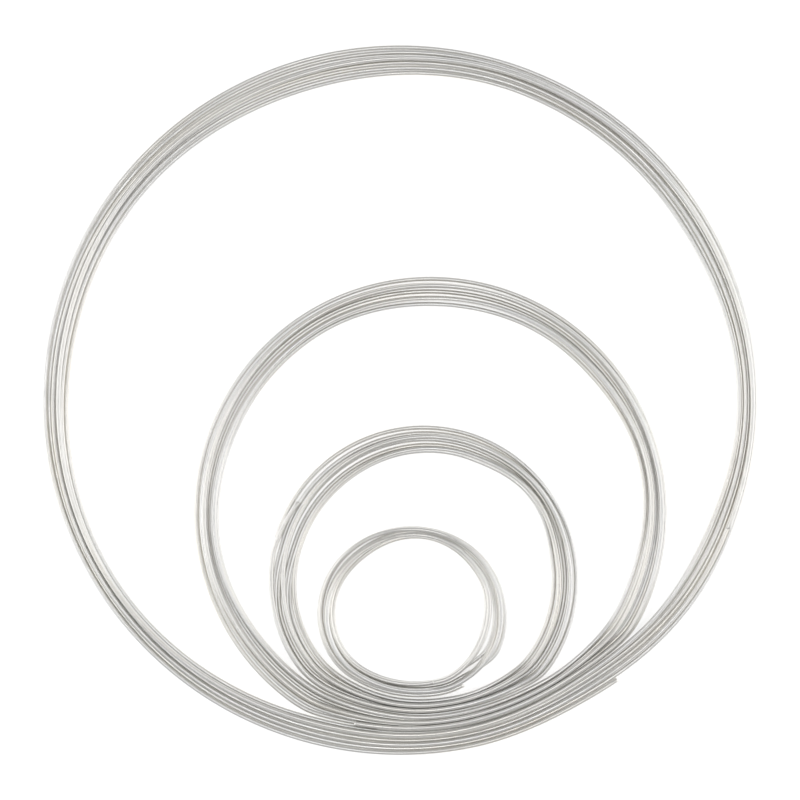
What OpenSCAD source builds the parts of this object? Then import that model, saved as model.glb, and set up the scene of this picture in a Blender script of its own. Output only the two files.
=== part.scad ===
// Wreath frames: a nested set of four flat coils of stiff round wire.
// Each coil is one continuous wire of about seven turns with two cut ends. It crosses inward on
// top of the band, drops to the bottom at the inner edge, and runs outward strand by strand.
// Where the band is narrow, every other strand rides in the groove between its neighbours.
// The origin is the centre of the largest coil, on the surface that the set lies on.

/* [Wire] */
// Diameter of the wire
wire_d = 2.0; // [1.9:0.05:2.0]
// Height of each upper layer, in wire diameters
layer_pitch = 1.02; // [1.02:0.01:1.10]
// Least distance between the centres of neighbouring strands, in wire diameters
strand_pitch = 1.07; // [1.07:0.01:1.08]
// Free gap between one coil and the next, less the 0.6 mm that blending their edges adds
coil_gap = 0.15; // [0.15:0.05:1.5]

/* [Large coil] */
// Outer diameter of the large coil
large_d = 299; // [298:1:320]
// Usual width of its band of turns
large_band = 11.6; // [10.8:0.1:12]

/* [Medium coil] */
// Outer diameter of the medium coil
medium_d = 198.4; // [196:0.2:199]
// Usual width of its band of turns
medium_band = 11.6; // [10.8:0.1:12]

/* [Small coil] */
// Outer diameter of the small coil
small_d = 130.2; // [128:0.2:131]
// Usual width of its band of turns
small_band = 11.4; // [10.8:0.1:12]

/* [Mini coil] */
// Mean outer diameter of the mini coil
mini_d = 76.8; // [76:0.2:78]
// Usual width of its band of turns
mini_band = 7.9; // [7.9:0.1:8.2]

/* [Hidden] */

LARGE = 0;
MEDIUM = 1;
SMALL = 2;
MINI = 3;

// Every list below has one entry for each coil, in the order large, medium, small, mini
centres = [[0, 0], [12.8, -47.3], [9.9, -75.6], [4.9, -89.8]];
free_radii = [large_d / 2, medium_d / 2, small_d / 2, mini_d / 2];
bands = [large_band, medium_band, small_band, mini_band];
// Where the band swells or is pinched: the direction, the reach to each side and the change in width
band_changes = [
    [[0, 34, -2.9], [108, 40, 2.2], [212, 50, -2.4], [280, 28, -1.6], [298, 16, -0.8]],
    [[12, 35, -1.9], [87, 35, 1.1], [188, 35, -1.4]],
    [[38, 32, -2.3], [135, 70, 1.8]],
    [[80, 62, -2.5], [342, 46, 2.9]]
];
// The share of a dent in the outer edge that the band gives up in width
squeezes = [0, 0.65, 0.6, 0.45];
// How much longer each coil is than wide, across, on each side
ovalities = [0.5, 0, 0, 1.4];
// Where the outer edge dips or bulges, in the same form: the large coil does to either side of its
// outer end, so that the end stands out less, and the mini coil where its band fans out
edge_changes = [[[298, 16, -0.8], [322, 22, 1.3]], [], [], [[338, 36, 1.0]]];

// Number of turns, and the direction of the end that lies on top
turns = [6.915, 7.017, 7.044, 6.053];
start_angles = [338.5, 250, 148, 287];
// The upper part of each wire: after how many turns it is how far across the band, 0 being its
// outer edge and 1 its inner, and the layer it goes on in from there, 0 being the bottom
upper_paths = [
    [[0, 0.15, 1], [0.915, 1, 0]],
    [[0, 0, 1], [2.017, 1, 0]],
    [[0, 0.2, 1], [0.06, 0, 1], [2.044, 1, 0]],
    [[0, 1, 2], [1.53, 0, 1], [3.053, 1, 0]]
];
// Gaps between strands across the bottom layer, and the direction in which the strands that ride
// in the grooves and those that lie flat change places, where the band is wide enough
gaps = [5, 4, 4, 2];
swap_at = [108, 87, 135, 335];
// The part of a turn over which every strand shifts by one, just past the outer cut end
shift = 0.09;

// Straight steps in one turn of each coil, and flats round the wire
steps = [56, 44, 36, 30];
flats = 8;
// The wire is drawn as an octagon whose flats lie a little inside the round wire
flat_r = 0.95 * wire_d / 2;
corner_r = flat_r / cos(180 / flats);

// The lesser and the greater of two lengths, blended smoothly where they are close
function soft_min(a, b, blend) = (a + b - sqrt((a - b) * (a - b) + blend * blend)) / 2;
function soft_max(a, b, blend) = (a + b + sqrt((a - b) * (a - b) + blend * blend)) / 2;

// Distance at an angle to a circle, from a point inside it at an offset from its centre
function ray_to_circle(offset, angle, radius) =
    let (along = offset * [cos(angle), sin(angle)])
    sqrt(along * along - offset * offset + radius * radius) - along;

// Distance at an angle from a coil's centre to the inner edge of the next larger coil
function room(coil, angle) =
    let (
        offset = centres[coil] - centres[coil - 1],
        reach = ray_to_circle(offset, angle, inner_edge(coil - 1, angle)),
        hit = offset + reach * [cos(angle), sin(angle)]
    )
    ray_to_circle(offset, angle, inner_edge(coil - 1, atan2(hit[1], hit[0])));

// Sum of the changes in a list at an angle, each one fading out smoothly over its reach
function change_at(changes, angle, i = 0) =
    i == len(changes) ? 0
    : let (
        reach = changes[i][1],
        away = abs((angle - changes[i][0]) % 360),
        near = min(away, 360 - away, reach)
    )
    changes[i][2] * (1 + cos(180 * near / reach)) / 2 + change_at(changes, angle, i + 1);

// Outer edge of a coil that nothing presses
function free_edge(coil, angle) =
    free_radii[coil] + ovalities[coil] * cos(2 * angle) + change_at(edge_changes[coil], angle);

// A coil keeps its free edge, except where the next larger coil leaves less room
function outer_edge(coil, angle) =
    coil == LARGE ? free_edge(coil, angle)
    : soft_min(free_edge(coil, angle), room(coil, angle) - coil_gap, 1.5);

function band_width(coil, angle) =
    let (
        free = bands[coil] + change_at(band_changes[coil], angle),
        dent = free_edge(coil, angle) - outer_edge(coil, angle),
        least = wire_d * (1 + strand_pitch * gaps[coil] / 2)
    )
    soft_max(free - squeezes[coil] * dent, least, 0.3);

function inner_edge(coil, angle) = outer_edge(coil, angle) - band_width(coil, angle);

// A smooth step from 0 to 1
function smooth_step(x) = let (s = min(1, max(0, x))) s * s * (3 - 2 * s);

// Strand of the bottom layer, counted from the outer edge, with some turns left to the outer end
function bottom_strand(left) = floor(left) + smooth_step((left % 1 - 1) / shift + 1);

// Strand that the wire is at, or above, after some turns
function strand(coil, turn) =
    let (path = [for (point = upper_paths[coil]) [point[0], point[1]]])
    turn < path[len(path) - 1][0] ? gaps[coil] * lookup(turn, path)
    : min(gaps[coil], bottom_strand(turns[coil] - turn));

// Layer that the wire is on after some turns, with a smooth drop just after each point
function layer(coil, turn, i = 1) =
    let (path = upper_paths[coil])
    i == len(path) ? 0
    : (path[i - 1][2] - path[i][2]) * (1 - smooth_step((turn - path[i][0]) / shift - 0.4))
        + layer(coil, turn, i + 1);

// How far a strand of the bottom layer is lifted to ride in the groove between its neighbours.
// The last part of the arc down to no lift is replaced by its tangent, which is less steep.
function groove_lift(spacing) =
    let (pitch = strand_pitch * wire_d, tangent_at = 0.94 * pitch)
    spacing < tangent_at ? sqrt(pitch * pitch - spacing * spacing)
    : max(0, (pitch * pitch - tangent_at * spacing) / sqrt(pitch * pitch - tangent_at * tangent_at));

// How many times the strands have changed places when the wire has come round to an angle
function swaps(coil, angle) = floor((angle - swap_at[coil]) / 360);

// Centre line of a coil's wire after some turns, as angle, radius and height
function wire_at(coil, turn) =
    let (
        angle = start_angles[coil] + 360 * turn,
        spacing = (band_width(coil, angle) - wire_d) / gaps[coil],
        above = layer(coil, turn),
        last_drop = upper_paths[coil][len(upper_paths[coil]) - 1][0],
        drop_angle = start_angles[coil] + 360 * last_drop,
        rides = above > 0 || (swaps(coil, angle) - swaps(coil, drop_angle)) % 2 == 0
    )
    [
        angle,
        outer_edge(coil, angle) - wire_d / 2 - spacing * strand(coil, turn),
        flat_r + wire_d * layer_pitch * above + (rides ? groove_lift(spacing) : 0)
    ];

// Corners of the wire's section at one point of its centre line
function section(coil, at) = [
    for (k = [0:flats - 1])
        let (
            around = 360 * (k + 0.5) / flats,
            r = at[1] + corner_r * cos(around)
        )
        [
            centres[coil][0] + r * cos(at[0]),
            centres[coil][1] + r * sin(at[0]),
            at[2] + corner_r * sin(around)
        ]
];

// Corner k of section i in the list of points
function corner_at(i, k) = i * flats + k % flats;

// One coil of wire as a closed solid, square cut at both ends
module coil(which) {
    count = ceil(turns[which] * steps[which]);
    sections = [
        for (i = [0:count])
            section(which, wire_at(which, min(i / steps[which], turns[which])))
    ];
    sides = [
        for (i = [0:count - 1], k = [0:flats - 1])
            [corner_at(i, k), corner_at(i, k + 1), corner_at(i + 1, k + 1), corner_at(i + 1, k)]
    ];
    start_face = [for (k = [flats - 1:-1:0]) corner_at(0, k)];
    end_face = [for (k = [0:flats - 1]) corner_at(count, k)];
    polyhedron(
        points = [for (ring = sections) each ring],
        faces = concat(sides, [start_face, end_face]),
        convexity = 20
    );
}

module large_coil() {
    color("silver") coil(LARGE);
}

module medium_coil() {
    color("silver") coil(MEDIUM);
}

module small_coil() {
    color("silver") coil(SMALL);
}

module mini_coil() {
    color("silver") coil(MINI);
}

large_coil();
medium_coil();
small_coil();
mini_coil();
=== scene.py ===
"""A nested set of four wire wreath frames: coils of bright drawn wire on a pale studio floor."""

from math import atan2, cos, floor, hypot, pi, radians, sin, sqrt

import bpy
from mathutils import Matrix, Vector


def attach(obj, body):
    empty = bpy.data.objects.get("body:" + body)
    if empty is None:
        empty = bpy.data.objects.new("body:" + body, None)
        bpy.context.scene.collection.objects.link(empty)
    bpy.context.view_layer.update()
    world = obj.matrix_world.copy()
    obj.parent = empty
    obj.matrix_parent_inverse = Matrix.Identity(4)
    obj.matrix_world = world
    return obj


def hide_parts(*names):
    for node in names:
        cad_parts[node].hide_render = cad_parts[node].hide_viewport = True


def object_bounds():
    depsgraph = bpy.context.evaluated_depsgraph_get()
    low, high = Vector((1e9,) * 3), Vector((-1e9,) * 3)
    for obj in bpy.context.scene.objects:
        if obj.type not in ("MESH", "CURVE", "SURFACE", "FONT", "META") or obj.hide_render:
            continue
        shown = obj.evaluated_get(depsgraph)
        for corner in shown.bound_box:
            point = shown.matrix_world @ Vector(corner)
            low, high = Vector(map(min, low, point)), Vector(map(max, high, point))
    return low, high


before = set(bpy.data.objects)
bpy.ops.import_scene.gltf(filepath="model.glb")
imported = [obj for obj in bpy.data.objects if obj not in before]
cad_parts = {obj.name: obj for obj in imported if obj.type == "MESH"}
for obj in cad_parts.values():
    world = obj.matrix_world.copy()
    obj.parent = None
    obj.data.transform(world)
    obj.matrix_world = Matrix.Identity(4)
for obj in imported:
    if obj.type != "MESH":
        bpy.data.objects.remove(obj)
cad_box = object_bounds()

# ---- Winding. Lengths are in metres and angles in degrees. ----

MM = 0.001
WIRE_D = 2.0 * MM
# Height of an upper layer, and least distance between neighbouring strands, in wire diameters
LAYER_PITCH = 1.02
STRAND_PITCH = 1.07
# Free gap between one coil and the next, less what the blending of their edges adds
COIL_GAP = 0.15 * MM
# The part of a turn over which every strand shifts by one, just past the outer cut end
SHIFT = 0.09
# How long after its point a drop to a lower layer starts, as a share of that part of a turn
DROP_DELAY = 0.4
# The lengths over which a coil's two possible edges, and its two possible widths, blend
EDGE_BLEND = 1.5 * MM
WIDTH_BLEND = 0.3 * MM
# The CAD wire is an octagon a little inside the round wire, and rests on its flat
REST_HEIGHT = 0.95 * WIRE_D / 2

# The visual wire: straight steps in one turn, and corners round its section
STEPS = 300
SIDES = 20


class Coil:
    """One coil's size, place and winding, given in millimetres and degrees."""

    def __init__(
        self, name, outside, centre, diameter, band, squeeze, band_changes,
        turns, start_angle, upper_path, gaps, swap_at, ovality=0, edge_changes=(),
    ):
        self.name = name
        # The next larger coil, which this one lies in
        self.outside = outside
        self.centre = (centre[0] * MM, centre[1] * MM)
        self.free_radius = diameter / 2 * MM
        # How much longer the coil is than wide, across, on each side
        self.ovality = ovality * MM
        # Usual width of the band of turns, and the share of a dent that it gives up in width
        self.band = band * MM
        self.squeeze = squeeze
        # Where the band's width and its outer edge change: direction, reach to each side and amount
        self.band_changes = band_changes
        self.edge_changes = edge_changes
        # Number of turns, and the direction of the end that lies on top
        self.turns = turns
        self.start_angle = start_angle
        # Upper part of the wire: turn, share across the band from its outer edge, and layer from there
        self.upper_path = upper_path
        # Gaps between strands across the bottom layer, and the direction in which the strands that
        # ride in the grooves and those that lie flat change places
        self.gaps = gaps
        self.swap_at = swap_at

    def room(self, angle):
        """Distance at an angle from the centre to the inner edge of the next larger coil."""
        offset = (self.centre[0] - self.outside.centre[0], self.centre[1] - self.outside.centre[1])
        reach = ray_to_circle(offset, angle, self.outside.inner_edge(angle))
        hit_x = offset[0] + reach * cos(radians(angle))
        hit_y = offset[1] + reach * sin(radians(angle))
        hit_angle = atan2(hit_y, hit_x) * 180 / pi
        return ray_to_circle(offset, angle, self.outside.inner_edge(hit_angle))

    def free_edge(self, angle):
        """Outer edge where nothing presses the coil."""
        oval = self.ovality * cos(radians(2 * angle))
        return self.free_radius + oval + change_at(self.edge_changes, angle)

    def outer_edge(self, angle):
        """The free edge, except where the next larger coil leaves less room."""
        if self.outside is None:
            return self.free_edge(angle)
        return soft_min(self.free_edge(angle), self.room(angle) - COIL_GAP, EDGE_BLEND)

    def band_width(self, angle):
        """Width of the band of turns, which is never less than its strands need."""
        free = self.band + change_at(self.band_changes, angle)
        dent = self.free_edge(angle) - self.outer_edge(angle)
        least = WIRE_D * (1 + STRAND_PITCH * self.gaps / 2)
        # The greater of the two widths is the lesser of their negatives
        return -soft_min(self.squeeze * dent - free, -least, WIDTH_BLEND)

    def inner_edge(self, angle):
        return self.outer_edge(angle) - self.band_width(angle)

    def strand(self, turn):
        """Strand that the wire is at, or above, after some turns, counted from the outer edge."""
        if turn < self.upper_path[-1][0]:
            return self.gaps * share_across(self.upper_path, turn)
        left = max(0, self.turns - turn)
        return min(self.gaps, floor(left) + smooth_step((left % 1 - 1) / SHIFT + 1))

    def layer(self, turn):
        """Layer that the wire is on after some turns, with a smooth drop after each point."""
        level = self.upper_path[0][2]
        for before, after in zip(self.upper_path, self.upper_path[1:]):
            level -= (before[2] - after[2]) * smooth_step((turn - after[0]) / SHIFT - DROP_DELAY)
        return level

    def rides(self, turn):
        """Whether the wire is above the bottom layer or rides in one of the grooves there."""
        drop = self.upper_path[-1][0]
        if turn <= drop:
            return True
        return (self.swaps(turn) - self.swaps(drop)) % 2 == 0 or self.layer(turn) > 0

    def swaps(self, turn):
        """How many times the strands have changed places after some turns."""
        return floor((self.start_angle + 360 * turn - self.swap_at) / 360)

    def wire_at(self, turn):
        """Point of the wire's centre line after some turns, and the outward direction there."""
        angle = self.start_angle + 360 * turn
        spacing = (self.band_width(angle) - WIRE_D) / self.gaps
        radius = self.outer_edge(angle) - WIRE_D / 2 - spacing * self.strand(turn)
        height = REST_HEIGHT + WIRE_D * LAYER_PITCH * self.layer(turn)
        if self.rides(turn):
            height += groove_lift(spacing)
        outward = Vector((cos(radians(angle)), sin(radians(angle)), 0))
        return Vector((*self.centre, height)) + outward * radius, outward


def soft_min(a, b, blend):
    """The lesser of two lengths, blended smoothly where they are close."""
    return (a + b - sqrt((a - b) ** 2 + blend ** 2)) / 2


def groove_lift(spacing):
    """How far a strand is lifted to ride in the groove between its neighbours.

    The last part of the arc down to no lift is replaced by its tangent, which is less steep.
    """
    pitch = STRAND_PITCH * WIRE_D
    tangent_at = 0.94 * pitch
    if spacing < tangent_at:
        return sqrt(pitch ** 2 - spacing ** 2)
    return max(0, (pitch ** 2 - tangent_at * spacing) / sqrt(pitch ** 2 - tangent_at ** 2))


def smooth_step(x):
    """A smooth step from 0 to 1."""
    s = min(1, max(0, x))
    return s * s * (3 - 2 * s)


def share_across(path, turn):
    """Share across the band after some turns, on straight lines between the points of a path."""
    for (turn_a, share_a, _), (turn_b, share_b, _) in zip(path, path[1:]):
        if turn <= turn_b:
            return share_a + (share_b - share_a) * (turn - turn_a) / (turn_b - turn_a)
    return path[-1][1]


def ray_to_circle(offset, angle, radius):
    """Distance at an angle to a circle, from a point inside it at an offset from its centre."""
    forward = offset[0] * cos(radians(angle)) + offset[1] * sin(radians(angle))
    return sqrt(forward ** 2 - hypot(*offset) ** 2 + radius ** 2) - forward


def change_at(changes, angle):
    """Sum of the changes at an angle: each has a direction, a reach to each side and an amount in mm."""
    total = 0
    for direction, reach, amount in changes:
        away = abs(angle - direction) % 360
        near = min(away, 360 - away, reach)
        total += amount * MM * (1 + cos(pi * near / reach)) / 2
    return total


large = Coil(
    name="large",
    outside=None,
    centre=(0, 0),
    diameter=299,
    ovality=0.5,
    band=11.6,
    squeeze=0,
    band_changes=(
        (0, 34, -2.9), (108, 40, 2.2), (212, 50, -2.4), (280, 28, -1.6), (298, 16, -0.8),
    ),
    edge_changes=((298, 16, -0.8), (322, 22, 1.3)),
    turns=6.915,
    start_angle=338.5,
    upper_path=((0, 0.15, 1), (0.915, 1, 0)),
    gaps=5,
    swap_at=108,
)
medium = Coil(
    name="medium",
    outside=large,
    centre=(12.8, -47.3),
    diameter=198.4,
    band=11.6,
    squeeze=0.65,
    band_changes=((12, 35, -1.9), (87, 35, 1.1), (188, 35, -1.4)),
    turns=7.017,
    start_angle=250,
    upper_path=((0, 0, 1), (2.017, 1, 0)),
    gaps=4,
    swap_at=87,
)
small = Coil(
    name="small",
    outside=medium,
    centre=(9.9, -75.6),
    diameter=130.2,
    band=11.4,
    squeeze=0.6,
    band_changes=((38, 32, -2.3), (135, 70, 1.8)),
    turns=7.044,
    start_angle=148,
    upper_path=((0, 0.2, 1), (0.06, 0, 1), (2.044, 1, 0)),
    gaps=4,
    swap_at=135,
)
mini = Coil(
    name="mini",
    outside=small,
    centre=(4.9, -89.8),
    diameter=76.8,
    ovality=1.4,
    band=7.9,
    squeeze=0.45,
    band_changes=((80, 62, -2.5), (342, 46, 2.9)),
    edge_changes=((338, 36, 1.0),),
    turns=6.053,
    start_angle=287,
    upper_path=((0, 1, 2), (1.53, 0, 1), (3.053, 1, 0)),
    gaps=2,
    swap_at=335,
)
COILS = (large, medium, small, mini)

# How the side cutters left each end: distance from the end, and the section's width and height there
CUT = ((0.9 * MM, 1.0, 1.0), (0.5 * MM, 1.03, 0.9), (0.22 * MM, 1.05, 0.68), (0.0, 1.0, 0.4))


def section_stations(coil):
    """Turn, width and height of every section along a wire, with its pinched ends."""
    length_of_turn = 2 * pi * (coil.free_radius - coil.band / 2)
    count = round(coil.turns * STEPS)
    # The round sections stop a little before the pinched ones, so that no two fall together
    clear_of_cut = 1.5 * CUT[0][0] / length_of_turn
    stations = [(gap / length_of_turn, width, height) for gap, width, height in reversed(CUT)]
    for i in range(count + 1):
        turn = coil.turns * i / count
        if clear_of_cut < turn < coil.turns - clear_of_cut:
            stations.append((turn, 1.0, 1.0))
    stations += [(coil.turns - gap / length_of_turn, width, height) for gap, width, height in CUT]
    return stations


def wire_piece(coil, wire_look, cut_look):
    """One coil of round wire as a swept mesh, mapped by its length and by the angle round it."""
    up = Vector((0, 0, 1))
    stations = section_stations(coil)
    vertices = []
    lengths = []
    length = 0.0
    previous = None
    for turn, width, height in stations:
        point, outward = coil.wire_at(turn)
        if previous is not None:
            length += (point - previous).length
        previous = point
        lengths.append(length)
        for k in range(SIDES):
            # The first corner is underneath, so that the mapping's seam is hidden
            around = 2 * pi * k / SIDES - pi / 2
            across = outward * (cos(around) * width * WIRE_D / 2)
            rise = up * (sin(around) * height * WIRE_D / 2)
            vertices.append(point + across + rise)

    faces = []
    for i in range(len(stations) - 1):
        for k in range(SIDES):
            following = (k + 1) % SIDES
            here, there = i * SIDES, (i + 1) * SIDES
            faces.append((here + k, here + following, there + following, there + k))
    last = (len(stations) - 1) * SIDES
    faces.append(tuple(range(SIDES - 1, -1, -1)))
    faces.append(tuple(range(last, last + SIDES)))

    mesh = bpy.data.meshes.new(coil.name + "_wire")
    mesh.from_pydata([tuple(v) for v in vertices], [], faces)
    mesh.materials.append(wire_look)
    mesh.materials.append(cut_look)
    mapping = mesh.uv_layers.new(name="along_and_around")
    for polygon in mesh.polygons:
        is_side = polygon.index < len(faces) - 2
        polygon.use_smooth = is_side
        polygon.material_index = 0 if is_side else 1
        if not is_side:
            continue
        i, k = divmod(polygon.index, SIDES)
        corners = ((i, k), (i, k + 1), (i + 1, k + 1), (i + 1, k))
        for loop, (row, column) in zip(polygon.loop_indices, corners):
            mapping.data[loop].uv = (lengths[row], column / SIDES)
    piece = bpy.data.objects.new(coil.name + "_wire", mesh)
    bpy.context.collection.objects.link(piece)
    return piece


# ---- Materials ----


class Nodes:
    """Short calls for building a node material."""

    def __init__(self, name):
        self.material = bpy.data.materials.new(name)
        self.material.use_nodes = True
        self.tree = self.material.node_tree
        self.shader = self.tree.nodes["Principled BSDF"]

    def link(self, source, target):
        """Join an output socket to an input socket."""
        self.tree.links.new(source, target)

    def add(self, kind, **values):
        """A new node of a kind, with its settings."""
        node = self.tree.nodes.new(kind)
        for name, value in values.items():
            setattr(node, name, value)
        return node

    def maths(self, operation, a, b):
        """Result of a sum on two values, each given as a number or as a socket."""
        node = self.add("ShaderNodeMath", operation=operation)
        for socket, value in zip(node.inputs, (a, b)):
            if isinstance(value, (int, float)):
                socket.default_value = value
            else:
                self.link(value, socket)
        return node.outputs[0]

    def scaled(self, vector, scale):
        """A vector with each part multiplied by its own scale."""
        node = self.add("ShaderNodeVectorMath", operation="MULTIPLY")
        self.link(vector, node.inputs[0])
        node.inputs[1].default_value = scale
        return node.outputs[0]

    def noise(self, vector, scale, detail=2.0, roughness=0.5):
        """Soft random values between 0 and 1 over space."""
        node = self.add("ShaderNodeTexNoise")
        self.link(vector, node.inputs["Vector"])
        node.inputs["Scale"].default_value = scale
        node.inputs["Detail"].default_value = detail
        node.inputs["Roughness"].default_value = roughness
        return node.outputs["Fac"]

    def remap(self, value, low, high, new_low, new_high):
        """A value moved from one range to another, and held at its ends."""
        node = self.add("ShaderNodeMapRange")
        self.link(value, node.inputs["Value"])
        node.inputs["From Min"].default_value = low
        node.inputs["From Max"].default_value = high
        node.inputs["To Min"].default_value = new_low
        node.inputs["To Max"].default_value = new_high
        return node.outputs["Result"]

    def mix(self, factor, a, b):
        """Mix of two colours, each given as numbers or as a socket."""
        node = self.add("ShaderNodeMix", data_type="RGBA", blend_type="MIX")
        for socket, value in zip((node.inputs[0], node.inputs[6], node.inputs[7]), (factor, a, b)):
            if isinstance(value, (int, float)):
                socket.default_value = value
            elif isinstance(value, tuple):
                socket.default_value = (*value, 1.0)
            else:
                self.link(value, socket)
        return node.outputs[2]

    def bump(self, height, strength, distance, below=None):
        """Normal of a surface with small heights on it, on top of an earlier bump if there is one."""
        node = self.add("ShaderNodeBump")
        node.inputs["Strength"].default_value = strength
        node.inputs["Distance"].default_value = distance
        self.link(height, node.inputs["Height"])
        if below is not None:
            self.link(below, node.inputs["Normal"])
        return node.outputs["Normal"]


def drawn_wire_look():
    """Bright drawn wire: draw lines along it, soft changes of tint, and rubbed dull patches."""
    look = Nodes("drawn_wire")
    place = look.add("ShaderNodeUVMap", uv_map="along_and_around").outputs["UV"]
    object_place = look.add("ShaderNodeTexCoord").outputs["Object"]

    # Draw lines run for some 40 mm along the wire and are 0.1 to 0.3 mm wide
    draw_lines = look.noise(look.scaled(place, (25.0, 34.0, 1.0)), scale=1.0, detail=3.0, roughness=0.65)
    fine_lines = look.noise(look.scaled(place, (60.0, 90.0, 1.0)), scale=1.0, detail=2.0, roughness=0.6)
    tint = look.noise(look.scaled(place, (9.0, 1.5, 1.0)), scale=1.0, detail=2.0)
    rubbed = look.noise(object_place, scale=260.0, detail=4.0, roughness=0.6)
    specks = look.noise(object_place, scale=1500.0, detail=2.0, roughness=0.5)

    neutral = (0.865, 0.86, 0.845)
    warm = (0.875, 0.85, 0.79)
    in_draw_line = (0.76, 0.76, 0.75)
    speck = (0.58, 0.57, 0.56)
    base = look.mix(look.remap(tint, 0.42, 0.68, 0.0, 1.0), neutral, warm)
    base = look.mix(look.remap(draw_lines, 0.35, 0.62, 0.30, 0.0), base, in_draw_line)
    base = look.mix(look.remap(specks, 0.68, 0.76, 0.0, 0.2), base, speck)
    look.link(base, look.shader.inputs["Base Color"])

    roughness = look.remap(draw_lines, 0.3, 0.7, 0.34, 0.25)
    roughness = look.maths("ADD", roughness, look.remap(rubbed, 0.5, 0.72, 0.0, 0.1))
    look.link(roughness, look.shader.inputs["Roughness"])
    look.shader.inputs["Metallic"].default_value = 1.0
    look.shader.inputs["Anisotropic"].default_value = 0.35

    normal = look.bump(draw_lines, strength=0.25, distance=0.03 * MM)
    normal = look.bump(fine_lines, strength=0.12, distance=0.01 * MM, below=normal)
    look.link(normal, look.shader.inputs["Normal"])
    return look.material


def cut_end_look():
    """The sheared face that side cutters leave: dull, darker and torn."""
    look = Nodes("cut_end")
    place = look.add("ShaderNodeTexCoord").outputs["Object"]
    torn = look.noise(place, scale=2500.0, detail=4.0, roughness=0.7)
    dark = (0.30, 0.29, 0.28)
    bright = (0.52, 0.51, 0.49)
    look.link(look.mix(torn, dark, bright), look.shader.inputs["Base Color"])
    look.link(look.remap(torn, 0.3, 0.7, 0.42, 0.62), look.shader.inputs["Roughness"])
    look.shader.inputs["Metallic"].default_value = 1.0
    look.link(look.bump(torn, strength=0.6, distance=0.05 * MM), look.shader.inputs["Normal"])
    return look.material


def floor_look():
    """Plain white studio floor."""
    look = Nodes("studio_floor")
    look.shader.inputs["Base Color"].default_value = (0.93, 0.93, 0.93, 1.0)
    look.shader.inputs["Roughness"].default_value = 0.9
    look.shader.inputs["Specular IOR Level"].default_value = 0.0
    # A light table: it glows a little, which drowns the shadows of the wire
    look.shader.inputs["Emission Color"].default_value = (1.0, 1.0, 1.0, 1.0)
    look.shader.inputs["Emission Strength"].default_value = 0.46
    return look.material


# ---- Studio ----

FLOOR_SIDE = 16.0
# Width of the floor that the camera sees, and its lens and sensor in millimetres
VIEW_WIDTH = 0.336
CAMERA_LENS = 135
SENSOR = 36


def studio_floor(look):
    """A wide flat floor just under the set."""
    half = FLOOR_SIDE / 2
    mesh = bpy.data.meshes.new("floor")
    corners = [(-half, -half, 0), (half, -half, 0), (half, half, 0), (-half, half, 0)]
    mesh.from_pydata(corners, [], [(0, 1, 2, 3)])
    mesh.materials.append(look)
    floor_piece = bpy.data.objects.new("floor", mesh)
    bpy.context.collection.objects.link(floor_piece)
    # A hair below the wire, so that the two never share a surface
    floor_piece.location.z = cad_box[0][2] - 0.05 * MM


def softbox(name, place, size, brightness):
    """A soft area light that faces the middle of the set, of a given brightness per area."""
    light = bpy.data.lights.new(name, "AREA")
    light.shape = "RECTANGLE"
    light.size, light.size_y = size
    light.energy = brightness * pi * size[0] * size[1]
    lamp = bpy.data.objects.new(name, light)
    lamp.location = place
    towards = -Vector(place)
    lamp.rotation_euler = towards.to_track_quat("-Z", "Y").to_euler()
    bpy.context.collection.objects.link(lamp)


def studio_light():
    """Large boxes on both sides, a small one straight above, and dim white all round."""
    softbox("left_softbox", place=(-1.4, 0.0, 0.7), size=(2.0, 1.4), brightness=0.92)
    softbox("right_softbox", place=(1.4, 0.0, 0.7), size=(2.0, 1.4), brightness=0.92)
    softbox("top_softbox", place=(0.0, 0.0, 1.7), size=(0.45, 0.45), brightness=3.2)
    world = bpy.data.worlds.new("studio")
    world.use_nodes = True
    background = world.node_tree.nodes["Background"]
    background.inputs["Color"].default_value = (1.0, 1.0, 1.0, 1.0)
    background.inputs["Strength"].default_value = 0.46
    bpy.context.scene.world = world


def overhead_camera():
    """A long lens that looks straight down on the middle of the large coil."""
    camera = bpy.data.cameras.new("camera")
    camera.lens = CAMERA_LENS
    camera.sensor_width = SENSOR
    camera.clip_start = 0.01
    camera.clip_end = 50
    viewer = bpy.data.objects.new("camera", camera)
    viewer.location = (0.0, 0.0, VIEW_WIDTH * CAMERA_LENS / SENSOR)
    bpy.context.collection.objects.link(viewer)
    bpy.context.scene.camera = viewer


overhead_camera()
wire_look = drawn_wire_look()
cut_look = cut_end_look()
for coil in COILS:
    piece = wire_piece(coil, wire_look, cut_look)
    node = coil.name + "_coil"
    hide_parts(node)
    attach(piece, node)
studio_floor(floor_look())
studio_light()
bpy.context.scene.view_settings.view_transform = "Standard"
